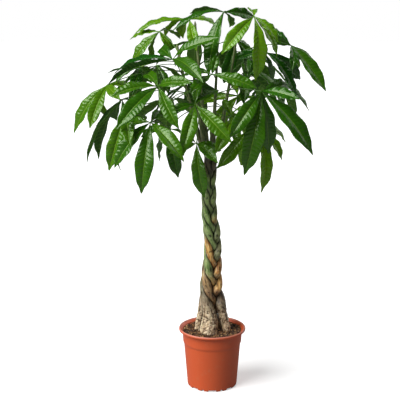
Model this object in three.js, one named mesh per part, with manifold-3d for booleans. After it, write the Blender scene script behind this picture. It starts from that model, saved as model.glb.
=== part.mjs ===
// A money tree in a 24 cm nursery pot: five braided stems that carry palmate leaves.
// Millimetres, +Z up. The origin is the centre of the pot's foot, and -Y is the front.

import * as THREE from "three";
import { mergeVertices } from "three/addons/utils/BufferGeometryUtils.js";
import Module from "manifold-3d";

const wasm = await Module();
wasm.setup();

// ---- Driving dimensions ----------------------------------------------------------------

// Clearances.
const SEAT_GAP = 0.3; // a leaf stalk at its stem, the soil at the pot
const SEAT_CUT = SEAT_GAP + 0.05; // round a stem, for the flats of its skin
const HOLE_GAP = 0.5; // a stem in its hole in the soil
const HOLE_ABOVE = 20; // the cutter of a hole reaches this far above the soil line

// The pot, as radii and heights.
const RIM_RADIUS = 120;
const RIM_TOP = 216;
const RIM_DEPTH = 9;
const RIM_MOUTH_RADIUS = 113;
const RIM_ROUNDING = 2.5;
const RIM_DRAFT = 0.5;
const COLLAR_TOP_RADIUS = 107.5;
const COLLAR_FOOT_RADIUS = 104.5;
const COLLAR_FOOT = 164;
const SHOULDER_RADIUS = 101;
const SHOULDER = 156;
const BODY_FOOT_RADIUS = 89.5;
const BODY_FOOT = 10;
const FOOT_RADIUS = 87;
const FOOT_WIDTH = 6;
const FOOT_BEVEL = [2, 3]; // outwards, upwards
const FLOOR_BOTTOM = 7;
const FLOOR_TOP = 9.5;
const WALL = 2.2;
const BOSS_RADIUS = 16; // the middle of the floor reaches down to the feet
const FOOT_PAIRS = 8;
const FOOT_ANGLE = 11; // degrees that one foot spans
const PAIR_NOTCH_ANGLE = 5; // degrees between the two feet of a pair
const POT_SEGMENTS = 28;

// The soil, a filled cone frustum with a lumpy top.
const SOIL_TOP = 203;
const SOIL_LUMP = 2;
const SOIL_WAVES = [0.11, 0.09, 0.05]; // radians a millimetre
const SOIL_RINGS = 2;
const SOIL_INSET = 0.2; // beside its gap, since the pot's wall is flat between its segments

// The braid. Seen from above, each stem goes round a figure of eight: in front it leaves the
// seam, where the two loops meet, and it comes back to it behind.
const STEM_FOOT = 135;
const SOIL_LINE = 206; // below it a stem goes straight down its hole
const SWELLING_TOP = 330; // a swollen foot has narrowed to a strand here
const BRAID_END = 820;
const SHOOT_START = 890;
const BRAID_PITCH = 325;
const BRAID_PHASE_HEIGHT = 500; // the first stem passes the seam to the left here
const BRAID_SEAM = 0.4; // right of the middle, over half the braid's swing
const LEFT_SHARE = 0.7; // of the pitch is spent in the left loop
const LEFT_DEPTH = 0.85; // of the loop to the front and back, over half the swing
const RIGHT_DEPTH = 0.7;
const LEFT_HASTE = 0.25; // on the left a stem drifts out in front and comes back faster behind
const LEVEL_STEP = BRAID_PITCH / 17; // between the rings of a stem's skin
const SHOOT_STEP = 100;
const STEM_SIDES = 7;
const NEARBY = 0.7 * LEVEL_STEP; // so far above and below a stem heeds the others
const NEARBY_LOOKS = 4; // each way
const LEAST_FACING = 0.05; // a neighbour that lies more to the side than this isn't pressed
const BRAID_SWING = [ // [height, half the swing]
  [330, 25], [377, 24.5], [444, 21], [507, 18], [558, 17.5], [631, 16], [685, 15], [820, 12.5],
];
const BRAID_LEAN = [ // [height, how far left the braid's middle is]
  [330, 4.5], [377, 3.5], [444, 0.5], [507, -1.5], [560, 0], [631, 10], [685, 12], [750, 12],
  [820, 7],
];
const STRAND_GAP = [ // [height, between two stems of the braid]
  [345, 2.4], [450, 1.5], [560, 1],
];
const STRAND_RADIUS = [ // [height, radius]
  [330, 17], [377, 15.5], [444, 14], [507, 13], [560, 13], [631, 12], [820, 10.5], [920, 9],
  [985, 6.5], [1100, 4.6], [1300, 3.6],
];

// One row a stem: where it stands in the soil, its swollen foot, the height at which it has
// come into the braid, and the end of its shoot.
const STEMS = [
  { foot: [-44, 8], footRadius: 17, braided: 330, end: [85, 30, 1275] },
  { foot: [24, 24], footRadius: 14, braided: 330, end: [-65, -90, 1135] },
  { foot: [51, -6], footRadius: 14, braided: 380, end: [-120, 10, 1215] },
  { foot: [-6, 38], footRadius: 15, braided: 330, end: [-60, 85, 1285] },
  { foot: [-13, -25], footRadius: 30, braided: 330, end: [14, -60, 1200] },
];
const SHOOT_BEND = 0.7; // a shoot spreads fast at first, then rises more steeply

// Leaflets.
const BLADE_THICKNESS = 0.9;
const BLADE_WIDTH = [14, 0.2]; // so much, and so much of its length
const BLADE_OUTLINE = [1.35, 0.95]; // how fast it widens from the hub and narrows to the tip
const BLADE_ARCH = 0.1; // of its length
const ARCH_VARIES = 0.35; // of that, at most
const ARCH_AT = 0.45; // of the length of a leaflet or petiole, where it is most arched
const BLADE_FOLD = 0.24; // rise of each half over its width
const FOLD_VARIES = 0.5;
const BLADE_ROLL = 16; // degrees, the most that a leaflet is turned about its length
const FACE_OUT = 0.4; // how far a leaf's face tips away from the stem, for 1 of rise
const FACE_FRONT = 0.8; // and towards the light in front
const BLADE_STATIONS = [0.26, 0.56, 0.82];
const STALK_RADIUS = 1.3; // of the leaflet, at the hub

// Petioles.
const PETIOLE_ROOT_RADIUS = 2.9;
const PETIOLE_RADIUS = 1.7;
const PETIOLE_HUB_RADIUS = 4; // it swells where the leaflets meet
const PETIOLE_SIDES = 4;
const PETIOLE_STATIONS = [0, 0.18, 0.4, 0.64, 0.94, 1];
const PETIOLE_TAPER = 1 / 3; // of its span, where it has its middle radius
const PETIOLE_RISE = 0.16; // of its span

// One row a leaf: the stem that it grows from, the height there, its hub, and its leaflets as
// [direction, rise, length, turn about its length]. Directions turn from the right towards
// the back, in degrees.
const LEAVES = [
  { stem: 1, from: 1085, hub: [-205, -230, 1000], leaflets: [
    [-120, -75, 235], [-165, -50, 190], [-45, -35, 190], [70, 10, 110], [65, -25, 145],
    [135, -15, 125] ] },
  { stem: 1, from: 1115, hub: [-180, -180, 1110], leaflets: [
    [-35, 10, 140], [-165, -10, 160], [-140, -35, 215], [-50, -50, 165], [110, 10, 140],
    [75, -5, 150] ] },
  { stem: 2, from: 1095, hub: [-135, -60, 1185], leaflets: [
    [110, 10, 135], [-170, -20, 235, 50], [160, -15, 225, 35], [-60, -15, 210],
    [-25, 25, 190, -25] ] },
  { stem: 1, from: 1035, hub: [-60, -200, 1055], leaflets: [
    [-110, -50, 195], [-30, -40, 180], [85, 25, 155], [50, 15, 130], [-160, -20, 120] ] },
  { stem: 2, from: 1135, hub: [-360, -40, 1095], leaflets: [
    [-125, -55, 165], [90, -50, 170], [175, -55, 205], [45, -15, 140], [-60, -20, 110] ] },
  { stem: 2, from: 1060, hub: [-305, -100, 1055], leaflets: [
    [-170, -60, 245, 60], [150, -65, 245, 60], [105, -40, 190], [-65, -50, 155], [60, -25, 125] ] },
  { stem: 2, from: 1200, hub: [-185, 80, 1265], leaflets: [
    [145, -15, 135], [175, -50, 150], [100, -45, 160], [60, -15, 145], [-60, -35, 110] ] },
  { stem: 3, from: 1235, hub: [-80, 100, 1305], leaflets: [
    [175, -15, 200], [135, -30, 150], [100, -30, 160], [35, -20, 135], [-70, -55, 125] ] },
  { stem: 4, from: 1190, hub: [35, -20, 1340], leaflets: [
    [145, -5, 140, 40], [-175, -20, 185, 45], [-115, -60, 240, 30], [35, -10, 135],
    [80, -25, 150] ] },
  { stem: 0, from: 1235, hub: [135, -80, 1330], leaflets: [
    [-155, -45, 170], [-85, -80, 215], [35, -55, 175], [95, 5, 110], [-20, -45, 120] ] },
  { stem: 0, from: 1190, hub: [265, 20, 1225], leaflets: [
    [-20, -50, 200], [25, -50, 205], [-90, -45, 110], [75, -45, 140], [-135, 15, 115],
    [150, 25, 120] ] },
  { stem: 0, from: 1130, hub: [175, 0, 1205], leaflets: [
    [-30, -50, 200], [30, -35, 185], [80, -55, 200], [-130, -40, 115], [130, -10, 150] ] },
  { stem: 4, from: 1065, hub: [160, -120, 1085], leaflets: [
    [-10, -50, 275], [-35, -5, 150], [55, 0, 170], [-140, -75, 285], [-140, -45, 200],
    [60, -75, 230] ] },
  { stem: 0, from: 1020, hub: [165, -20, 940], leaflets: [
    [-90, -75, 220], [-10, -55, 130], [130, -55, 175], [50, -25, 160] ] },
  { stem: 4, from: 1110, hub: [-5, -140, 1145], leaflets: [
    [-15, -15, 160], [40, -30, 165], [80, 30, 140], [140, -10, 140], [-130, -25, 125] ] },
  { stem: 1, from: 1000, hub: [-55, -150, 915], leaflets: [
    [-50, -25, 120], [-35, -80, 185], [115, -30, 120], [35, -20, 110], [180, -20, 100] ] },
  { stem: 4, from: 1000, hub: [115, -70, 945], leaflets: [
    [-150, -45, 170], [85, -55, 150], [35, -35, 130], [-40, -10, 120] ] },
  { stem: 4, from: 1035, hub: [65, -60, 990], leaflets: [
    [-130, -50, 145], [110, 30, 100], [-60, 25, 100], [60, -45, 140] ] },
  { stem: 3, from: 1040, hub: [90, 120, 1035], leaflets: [
    [165, -15, 165], [65, -55, 140], [5, -20, 120], [110, 15, 130], [-170, -45, 130] ] },
  { stem: 2, from: 1030, hub: [-285, -190, 1025], leaflets: [
    [-150, -70, 200], [110, -70, 225, 40], [160, -70, 250, 75], [-80, -45, 130], [60, -20, 125] ] },
  { stem: 2, from: 1000, hub: [-150, -90, 955], leaflets: [
    [-45, -75, 175], [115, -60, 150], [15, -30, 110], [150, -20, 120] ] },
  { stem: 2, from: 1165, hub: [-250, 60, 1145], leaflets: [
    [-150, -30, 120], [-105, -40, 130], [150, -10, 140], [75, -30, 150] ] },
  { stem: 3, from: 1180, hub: [80, 60, 1240], leaflets: [
    [-65, -65, 165], [45, -40, 140], [115, -45, 150], [-25, -50, 150], [-125, -65, 170] ] },
];

// Leaves at the back, whose leaflets follow a rule: a fan that is longest away from the stem.
const BACK_LEAVES = [
  { stem: 3, from: 1120, hub: [-200, 220, 1130], count: 6 },
  { stem: 3, from: 1210, hub: [-60, 270, 1215], count: 5 },
  { stem: 3, from: 1150, hub: [120, 245, 1175], count: 5 },
  { stem: 0, from: 1085, hub: [195, 190, 1090], count: 6 },
  { stem: 2, from: 1045, hub: [-140, 180, 1020], count: 5 },
  { stem: 3, from: 1000, hub: [60, 190, 970], count: 5 },
  { stem: 3, from: 1010, hub: [-85, 95, 1085], count: 5 },
  { stem: 0, from: 1060, hub: [110, 60, 1130], count: 5 },
];
const FAN_SPREAD = 330; // degrees
const FAN_LENGTH = 215;
const FAN_LENGTH_VARIES = 0.06; // of that
const FAN_SHORTEST = 0.6; // of the longest
const FAN_DROOP = 42; // degrees
const FAN_DROOP_VARIES = 12;
const FAN_TURN_VARIES = 8;

// Clearances that keep one leaf out of another, measured between points of their middle faces.
const BLADE_CLEAR = 10.5;
const BLADE_STEM_CLEAR = 8; // beside the stem's radius
const STALK_CLEAR = 11;
const SISTER_CLEAR = 6;
const SISTER_REACH = 45; // nearer the hub, leaflets of one leaf grow together
const SAMPLE_ROWS = 18;
const SAMPLE_COLUMNS = 7;
const SWING_TRIALS = 6;
const SWING_STEP = 0.13; // of the length, towards the front or the back
const SWUNG_LONGEST = 1.1; // of the length
const TURN_TRIALS = [0, 24, -24];
const SHORTER_TRIALS = [1, 0.86, 0.74];
const LEAF_SEED = 20241;
const PATH_START = 700; // below it no leaf comes near a stem
const PATH_STEP = 8;
const PETIOLE_SAMPLES = 30;
const PETIOLE_ROOT_SAMPLES = 3; // inside or close to its own stem
const PETIOLE_LEAVING_SAMPLES = 8; // still beside its own stem
const PETIOLE_HUB_SAMPLES = 6; // close to its own leaflets
const PETIOLE_CLEAR = 8;
const PETIOLE_OWN_STEM_CLEAR = 9;
const PETIOLE_STEM_CLEAR = 13;
const PETIOLE_TRIALS = 5;
const PETIOLE_BEND_STEP = 0.12;

const FINISHES = { // [colour, roughness]
  pot: [0xb4532d, 0.5], soil: [0x4a3220, 0.95], stem: [0x84785a, 0.8], leaf: [0x2f7a25, 0.35],
};

// ---- Small helpers ---------------------------------------------------------------------

const radians = (degrees) => (degrees * Math.PI) / 180;
const vector = (x, y, z) => new THREE.Vector3(x, y, z);
const mix = (a, b, part) => a + (b - a) * part;

function ease(from, to, value) {
  const part = Math.min(1, Math.max(0, (value - from) / (to - from)));
  return part * part * (3 - 2 * part);
}

// The value at a height in a list of [height, value], straight between its rows.
function along(rows, height) {
  if (height <= rows[0][0]) return rows[0][1];
  for (let i = 1; i < rows.length; i++) {
    const [low, atLow] = rows[i - 1];
    const [high, atHigh] = rows[i];
    if (height <= high) return mix(atLow, atHigh, (height - low) / (high - low));
  }
  return rows[rows.length - 1][1];
}

// Draws between -1 and 1, the same on every run.
function drawer(seed) {
  let state = seed;
  return () => {
    state = (state * 16807) % 2147483647;
    return (2 * state) / 2147483647 - 1;
  };
}

// ---- Solids ----------------------------------------------------------------------------

function toSolid(geometry) {
  const bare = geometry.clone();
  bare.deleteAttribute("normal");
  bare.deleteAttribute("uv");
  const merged = mergeVertices(bare, 1e-4);
  const index = merged.index.array;
  const corners = [];
  for (let i = 0; i < index.length; i += 3) {
    const [a, b, c] = [index[i], index[i + 1], index[i + 2]];
    if (a !== b && b !== c && c !== a) corners.push(a, b, c);
  }
  const mesh = new wasm.Mesh({
    numProp: 3,
    vertProperties: merged.attributes.position.array,
    triVerts: Uint32Array.from(corners),
  });
  return new wasm.Manifold(mesh);
}

function toGeometry(solid) {
  const mesh = solid.getMesh();
  const geometry = new THREE.BufferGeometry();
  const points = new Float32Array(mesh.vertProperties);
  geometry.setAttribute("position", new THREE.BufferAttribute(points, 3));
  geometry.setIndex(new THREE.BufferAttribute(new Uint32Array(mesh.triVerts), 1));
  geometry.computeVertexNormals();
  return geometry;
}

// A closed skin over rings of points that run anticlockwise about the way they go. It ends in
// a flat cap, or in a point if a tip is given. Faces after `under` are split the other way.
function loft(rings, tip = null, under = Infinity) {
  const sides = rings[0].length;
  const points = rings.flat();
  const faces = [];
  for (let j = 1; j < sides - 1; j++) faces.push(0, j + 1, j);
  for (let i = 0; i < rings.length - 1; i++) {
    for (let j = 0; j < sides; j++) {
      const a = i * sides + j;
      const b = i * sides + ((j + 1) % sides);
      const c = b + sides;
      const d = a + sides;
      if (j >= under && j < sides - 1) faces.push(a, b, d, b, c, d);
      else faces.push(a, b, c, a, c, d);
    }
  }
  const last = (rings.length - 1) * sides;
  if (tip) points.push(tip);
  for (let j = tip ? 0 : 1; j < (tip ? sides : sides - 1); j++) {
    if (tip) faces.push(last + j, last + ((j + 1) % sides), points.length - 1);
    else faces.push(last, last + j, last + j + 1);
  }
  const geometry = new THREE.BufferGeometry().setFromPoints(points);
  geometry.setIndex(faces);
  return geometry;
}

// ---- Pot and soil ----------------------------------------------------------------------

// The wall's inside, from the mouth down to the floor.
const POT_INSIDE = [
  [RIM_MOUTH_RADIUS, RIM_TOP - RIM_ROUNDING],
  [COLLAR_TOP_RADIUS - WALL, RIM_TOP - RIM_DEPTH],
  [COLLAR_FOOT_RADIUS - WALL, COLLAR_FOOT],
  [SHOULDER_RADIUS - WALL, SHOULDER],
  [BODY_FOOT_RADIUS - WALL, FLOOR_TOP],
];

function spin(outline) {
  const profile = outline.map(([radius, height]) => new THREE.Vector2(radius, height));
  return new THREE.LatheGeometry(profile, POT_SEGMENTS).rotateX(Math.PI / 2);
}

function makePot() {
  const outline = [
    [0, 0], [BOSS_RADIUS, 0], [BOSS_RADIUS + 1, FLOOR_BOTTOM],
    [FOOT_RADIUS - FOOT_WIDTH - 1, FLOOR_BOTTOM], [FOOT_RADIUS - FOOT_WIDTH, 0],
    [FOOT_RADIUS, 0], [FOOT_RADIUS + FOOT_BEVEL[0], FOOT_BEVEL[1]],
    [BODY_FOOT_RADIUS, BODY_FOOT], [SHOULDER_RADIUS, SHOULDER],
    [COLLAR_FOOT_RADIUS, COLLAR_FOOT], [COLLAR_TOP_RADIUS, RIM_TOP - RIM_DEPTH],
    [RIM_RADIUS - RIM_DRAFT, RIM_TOP - RIM_DEPTH], [RIM_RADIUS, RIM_TOP - RIM_ROUNDING],
    [RIM_RADIUS - RIM_ROUNDING, RIM_TOP], [RIM_MOUTH_RADIUS + RIM_ROUNDING, RIM_TOP],
    ...POT_INSIDE, [0, FLOOR_TOP],
  ];
  let pot = toSolid(spin(outline));
  const pitch = 360 / FOOT_PAIRS;
  const archAngle = pitch - 2 * FOOT_ANGLE - PAIR_NOTCH_ANGLE;
  for (let i = 0; i < FOOT_PAIRS; i++) {
    pot = pot.subtract(notch(pitch * (i + 0.5), PAIR_NOTCH_ANGLE));
    pot = pot.subtract(notch(pitch * i, archAngle));
  }
  return toGeometry(pot);
}

// The gap between two feet, cut up to the underside of the floor.
function notch(direction, angle) {
  const height = 2 * (FLOOR_BOTTOM - 1);
  const width = 2 * FOOT_RADIUS * Math.tan(radians(angle / 2));
  const box = new THREE.BoxGeometry(4 * FOOT_WIDTH, width, height);
  box.translate(FOOT_RADIUS - FOOT_WIDTH / 2, 0, 0);
  box.rotateZ(radians(direction));
  return toSolid(box);
}

function makeSoil(holes) {
  const inside = POT_INSIDE.slice(2).reverse();
  const wallHere = along([POT_INSIDE[2], POT_INSIDE[1]].map(([r, z]) => [z, r]), SOIL_TOP);
  const outline = [[0, FLOOR_TOP + SEAT_GAP]];
  const inset = SEAT_GAP + SOIL_INSET;
  for (const [radius, height] of inside) {
    outline.push([radius - inset, height === FLOOR_TOP ? height + SEAT_GAP : height]);
  }
  for (let i = 0; i <= SOIL_RINGS; i++) {
    outline.push([(wallHere - inset) * (1 - i / SOIL_RINGS), SOIL_TOP]);
  }
  const lump = spin(outline);
  const place = lump.attributes.position;
  for (let i = 0; i < place.count; i++) {
    if (place.getZ(i) < SOIL_TOP - 1) continue;
    const [x, y] = [place.getX(i), place.getY(i)];
    const [wide, deep, aslant] = SOIL_WAVES;
    const wave = Math.sin(wide * x + 1) * Math.cos(deep * y) + Math.sin(aslant * (x - y)) / 2;
    place.setZ(i, SOIL_TOP + SOIL_LUMP * wave);
  }
  return toGeometry(holes.reduce((soil, hole) => soil.subtract(hole), toSolid(lump)));
}

// ---- Stems -----------------------------------------------------------------------------

// Where a stem is after so many turns of the braid, over half its swing, as [across, deep].
function figureOfEight(turns) {
  const turn = turns - Math.floor(turns);
  const left = turn < LEFT_SHARE;
  const part = left ? turn / LEFT_SHARE : (turn - LEFT_SHARE) / (1 - LEFT_SHARE);
  const haste = left ? LEFT_HASTE : 0;
  const angle = Math.PI * part - haste * Math.sin(Math.PI * part) ** 2;
  const width = left ? -1 - BRAID_SEAM : 1 - BRAID_SEAM;
  const depth = left ? LEFT_DEPTH : RIGHT_DEPTH;
  return [BRAID_SEAM + width * Math.sin(angle), -depth * Math.sin(2 * angle)];
}

// The middle of a stem at a height, as [x, y].
function stemMiddle(k, height) {
  const { foot, braided, end } = STEMS[k];
  const turns = (height - BRAID_PHASE_HEIGHT) / BRAID_PITCH + k / STEMS.length;
  const [across, deep] = figureOfEight(turns);
  const swing = along(BRAID_SWING, height);
  const lean = along(BRAID_LEAN, height);
  const braid = [swing * across - lean, swing * deep];
  const out = Math.max(0, (height - BRAID_END) / (end[2] - BRAID_END)) ** SHOOT_BEND;
  const shoot = [mix(-lean, end[0], out), mix(0, end[1], out)];
  const rise = ease(SOIL_LINE, braided, height);
  const leave = ease(BRAID_END, SHOOT_START, height);
  return [0, 1].map((i) => mix(mix(foot[i], braid[i], rise), shoot[i], leave));
}

function stemRadius(k, height) {
  const rise = ease(SOIL_LINE, SWELLING_TOP, height);
  const swollen = mix(STEMS[k].footRadius, STRAND_RADIUS[0][1], rise);
  return height < SWELLING_TOP ? swollen : along(STRAND_RADIUS, height);
}

// How far a stem reaches one way before it presses on a neighbour, here or near here.
function stemReach(k, height, direction) {
  let reach = Infinity;
  for (let i = -NEARBY_LOOKS; i <= NEARBY_LOOKS; i++) {
    const level = height + (NEARBY * i) / NEARBY_LOOKS;
    reach = Math.min(reach, stemReachAt(k, level, direction));
  }
  return reach;
}

function stemReachAt(k, height, direction) {
  const [x, y] = stemMiddle(k, height);
  const radius = stemRadius(k, height);
  const gap = along(STRAND_GAP, height);
  let reach = radius;
  for (let other = 0; other < STEMS.length; other++) {
    if (other === k) continue;
    const [u, v] = stemMiddle(other, height);
    const apart = Math.hypot(u - x, v - y);
    const facing = ((u - x) * Math.cos(direction) + (v - y) * Math.sin(direction)) / apart;
    const theirs = stemRadius(other, height);
    const share = (apart * apart + radius * radius - theirs * theirs) / (2 * apart);
    if (facing > LEAST_FACING) reach = Math.min(reach, (share - gap / 2) / facing);
  }
  return reach;
}

function stemRing(k, height, extra) {
  const [x, y] = stemMiddle(k, height);
  const ring = [];
  for (let j = 0; j < STEM_SIDES; j++) {
    const direction = (2 * Math.PI * (j + 0.5)) / STEM_SIDES;
    const reach = stemReach(k, Math.max(height, SOIL_LINE), direction) + extra;
    ring.push(vector(x + reach * Math.cos(direction), y + reach * Math.sin(direction), height));
  }
  return ring;
}

function stemLevels(k) {
  const top = STEMS[k].end[2];
  const levels = [STEM_FOOT, SOIL_LINE];
  for (let z = SOIL_LINE + LEVEL_STEP; z < SHOOT_START; z += LEVEL_STEP) levels.push(z);
  const shootSteps = Math.ceil((top - SHOOT_START) / SHOOT_STEP);
  for (let i = 0; i <= shootSteps; i++) levels.push(mix(SHOOT_START, top, i / shootSteps));
  return levels;
}

function makeStem(k, extra = 0) {
  return loft(stemLevels(k).map((height) => stemRing(k, height, extra)));
}

function stemHole(k) {
  const foot = stemRing(k, SOIL_LINE, HOLE_GAP);
  return toSolid(loft([STEM_FOOT - HOLE_GAP, SOIL_LINE + HOLE_ABOVE].map(
    (height) => foot.map(({ x, y }) => vector(x, y, height)),
  )));
}

// ---- Leaves ----------------------------------------------------------------------------

// A point on the curve that starts at a, heads for b and ends at c, and its direction there.
function bow(a, b, c, part) {
  const point = a.clone().multiplyScalar((1 - part) ** 2);
  point.addScaledVector(b, 2 * part * (1 - part)).addScaledVector(c, part * part);
  const heading = b.clone().sub(a).multiplyScalar(1 - part);
  heading.addScaledVector(c.clone().sub(b), part).normalize();
  return { point, heading };
}

// Half the blade's width, as a part of the widest, which is a little past the middle.
function bladeSpread(part) {
  const [widens, narrows] = BLADE_OUTLINE;
  const outline = (at) => at ** widens * (1 - at) ** narrows;
  return outline(part) / outline(widens / (widens + narrows));
}

// The middle face of a leaflet: a point at `part` of its length and `side` of its half width.
function bladeOf(leaflet) {
  const { hub, reach, face, roll, arch, fold } = leaflet;
  const length = reach.length();
  const chord = reach.clone().normalize();
  const side = face.clone().cross(chord).normalize().applyAxisAngle(chord, radians(roll));
  const up = chord.clone().cross(side);
  const crown = hub.clone().addScaledVector(reach, ARCH_AT);
  crown.addScaledVector(up, 2 * arch * length);
  const tip = hub.clone().add(reach);
  const half = (BLADE_WIDTH[0] + BLADE_WIDTH[1] * length) / 2;
  return {
    tip,
    at(part, across) {
      const { point, heading } = bow(hub, crown, tip, part);
      const normal = heading.clone().cross(side);
      const wide = half * bladeSpread(part) * across;
      point.addScaledVector(side, wide).addScaledVector(normal, fold * Math.abs(wide));
      return { point, normal, side };
    },
  };
}

function samplePoints(blade) {
  const points = [];
  for (let i = 1; i <= SAMPLE_ROWS; i++) {
    for (let j = 0; j < SAMPLE_COLUMNS; j++) {
      const across = (2 * j) / (SAMPLE_COLUMNS - 1) - 1;
      points.push(blade.at(i / SAMPLE_ROWS, across).point);
    }
  }
  return points;
}

function near(points, others, distance) {
  const reach = new THREE.Box3().setFromPoints(others).expandByScalar(distance);
  const limit = distance * distance;
  const close = points.filter((point) => reach.containsPoint(point));
  return close.some((point) => others.some((other) => point.distanceToSquared(other) < limit));
}

// Points up the middle of a stem.
function stemPath(k) {
  const points = [];
  for (let height = PATH_START; height <= STEMS[k].end[2]; height += PATH_STEP) {
    points.push(vector(...stemMiddle(k, height), height));
  }
  return points;
}

function petioleOf(row, bend) {
  const root = vector(...stemMiddle(row.stem, row.from), row.from);
  const hub = vector(...row.hub);
  const span = hub.clone().sub(root);
  const sideways = vector(-span.y, span.x, 0).normalize();
  const knee = root.clone().addScaledVector(span, ARCH_AT);
  knee.z += PETIOLE_RISE * span.length();
  knee.addScaledVector(sideways, bend * span.length());
  const points = [];
  for (let i = 0; i <= PETIOLE_SAMPLES; i++) {
    points.push(bow(root, knee, hub, i / PETIOLE_SAMPLES).point);
  }
  return { root, knee, hub, sideways, points, stem: row.stem };
}

// Nought, then one step either way, then two, and so on.
const outwards = (trial) => (trial % 2 ? 1 : -1) * Math.ceil(trial / 2);

function placePetioles(rows, paths) {
  const placed = [];
  for (const row of rows) {
    let chosen = petioleOf(row, 0);
    for (let trial = 0; trial < 2 * PETIOLE_TRIALS + 1; trial++) {
      const petiole = petioleOf(row, outwards(trial) * PETIOLE_BEND_STEP);
      const free = petiole.points.slice(PETIOLE_ROOT_SAMPLES);
      const gone = petiole.points.slice(PETIOLE_LEAVING_SAMPLES);
      const clearOfStems = paths.every((path, k) => (
        k === row.stem ? !near(gone, path, PETIOLE_OWN_STEM_CLEAR)
          : !near(free, path, PETIOLE_STEM_CLEAR)
      ));
      const clearOfOthers = placed.every((other) => (
        !near(free, other.points.slice(PETIOLE_ROOT_SAMPLES), PETIOLE_CLEAR)
      ));
      if (clearOfStems && clearOfOthers) {
        chosen = petiole;
        break;
      }
    }
    placed.push(chosen);
  }
  return placed;
}

function fan(row, random) {
  const [x, y] = stemMiddle(row.stem, row.from);
  const outward = Math.atan2(row.hub[1] - y, row.hub[0] - x) * (180 / Math.PI);
  const leaflets = [];
  for (let i = 0; i < row.count; i++) {
    const turn = outwards(i) * (FAN_SPREAD / row.count);
    const far = (1 + Math.cos(radians(turn))) / 2;
    const varied = FAN_LENGTH * (1 + FAN_LENGTH_VARIES * random());
    const direction = outward + turn + FAN_TURN_VARIES * random();
    const rise = -FAN_DROOP + FAN_DROOP_VARIES * random();
    leaflets.push([direction, rise, varied * mix(FAN_SHORTEST, 1, far)]);
  }
  return leaflets;
}

// The way that a leaf's upper face looks.
function faceOf(row) {
  const [x, y] = row.hub;
  const out = vector(x, y, 0).setLength(FACE_OUT);
  return vector(out.x, out.y - (row.leaflets ? FACE_FRONT : 0), 1).normalize();
}

// Each leaflet swings to the front or back, turns or stays shorter until it is clear of all
// that is already there. One that finds no place isn't grown.
function placeLeaflets(rows, petioles, paths, random) {
  const placed = [];
  rows.forEach((row, leaf) => {
    const hub = vector(...row.hub);
    const face = faceOf(row);
    (row.leaflets ?? fan(row, random)).forEach(([direction, rise, length, turned = 0]) => {
      const [a, e] = [radians(direction), radians(rise)];
      const aim = vector(Math.cos(a) * Math.cos(e), Math.sin(a) * Math.cos(e), Math.sin(e));
      const ownRoll = turned + BLADE_ROLL * random();
      const arch = BLADE_ARCH * (1 + ARCH_VARIES * random());
      const fold = BLADE_FOLD * (1 + FOLD_VARIES * random());
      const found = firstClear(aim.multiplyScalar(length), (reach, turn) => {
        const leaflet = { leaf, hub, reach, face, roll: ownRoll + turn, arch, fold };
        leaflet.points = samplePoints(bladeOf(leaflet));
        return isClear(leaflet, placed, petioles, paths) ? leaflet : null;
      });
      if (found) placed.push(found);
    });
  });
  return placed;
}

function firstClear(reach, attempt) {
  for (const shorter of SHORTER_TRIALS) {
    for (let trial = 0; trial < 2 * SWING_TRIALS + 1; trial++) {
      for (const turn of TURN_TRIALS) {
        const swung = reach.clone();
        swung.y += outwards(trial) * SWING_STEP * reach.length();
        swung.setLength(Math.min(swung.length(), SWUNG_LONGEST * reach.length()) * shorter);
        const found = attempt(swung, turn);
        if (found) return found;
      }
    }
  }
  return null;
}

function isClear(leaflet, placed, petioles, paths) {
  const outer = leaflet.points.filter((point) => point.distanceTo(leaflet.hub) > SISTER_REACH);
  for (let k = 0; k < paths.length; k++) {
    const clear = BLADE_STEM_CLEAR + stemRadius(k, leaflet.hub.z);
    if (near(leaflet.points, paths[k], clear)) return false;
  }
  for (let i = 0; i < petioles.length; i++) {
    const own = i === leaflet.leaf;
    const { points } = petioles[i];
    const stalk = own ? points.slice(0, -PETIOLE_HUB_SAMPLES) : points;
    if (near(own ? outer : leaflet.points, stalk, STALK_CLEAR)) return false;
  }
  return placed.every((other) => {
    if (other.leaf === leaflet.leaf) return !near(outer, other.points, SISTER_CLEAR);
    return !near(leaflet.points, other.points, BLADE_CLEAR);
  });
}

function bladeSolid(leaflet) {
  const blade = bladeOf(leaflet);
  const rings = [0, ...BLADE_STATIONS].map((part) => {
    const { point, normal, side } = blade.at(part, 0);
    const thick = part === 0 ? STALK_RADIUS : BLADE_THICKNESS / 2;
    const edges = [1, -1].map((across) => (
      part === 0 ? point.clone().addScaledVector(side, across * STALK_RADIUS)
        : blade.at(part, across).point
    ));
    const top = [edges[0], point, edges[1]];
    const upper = top.map((p) => p.clone().addScaledVector(normal, thick));
    const lower = top.map((p) => p.clone().addScaledVector(normal, -thick)).reverse();
    return [...upper, ...lower];
  });
  return toSolid(loft(rings, blade.tip, rings[0].length / 2));
}

function petioleSolid({ root, knee, hub, sideways }) {
  const rings = PETIOLE_STATIONS.map((part) => {
    const { point, heading } = bow(root, knee, hub, part);
    if (part === 1) point.addScaledVector(heading, PETIOLE_HUB_RADIUS / 2);
    const normal = heading.clone().cross(sideways).normalize();
    const taper = Math.min(1, part / PETIOLE_TAPER);
    const thin = mix(PETIOLE_ROOT_RADIUS, PETIOLE_RADIUS, taper);
    const radius = part === 1 ? PETIOLE_HUB_RADIUS : thin;
    const ring = [];
    for (let j = 0; j < PETIOLE_SIDES; j++) {
      const angle = (2 * Math.PI * j) / PETIOLE_SIDES;
      const rim = point.clone().addScaledVector(sideways, radius * Math.cos(angle));
      ring.push(rim.addScaledVector(normal, radius * Math.sin(angle)));
    }
    return ring;
  });
  return toSolid(loft(rings));
}

function makeLeaf(petiole, leaflets, seats) {
  let leaf = petioleSolid(petiole);
  for (const leaflet of leaflets) leaf = leaf.add(bladeSolid(leaflet));
  return toGeometry(leaf.subtract(seats[petiole.stem]));
}

// ---- The whole plant -------------------------------------------------------------------

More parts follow.
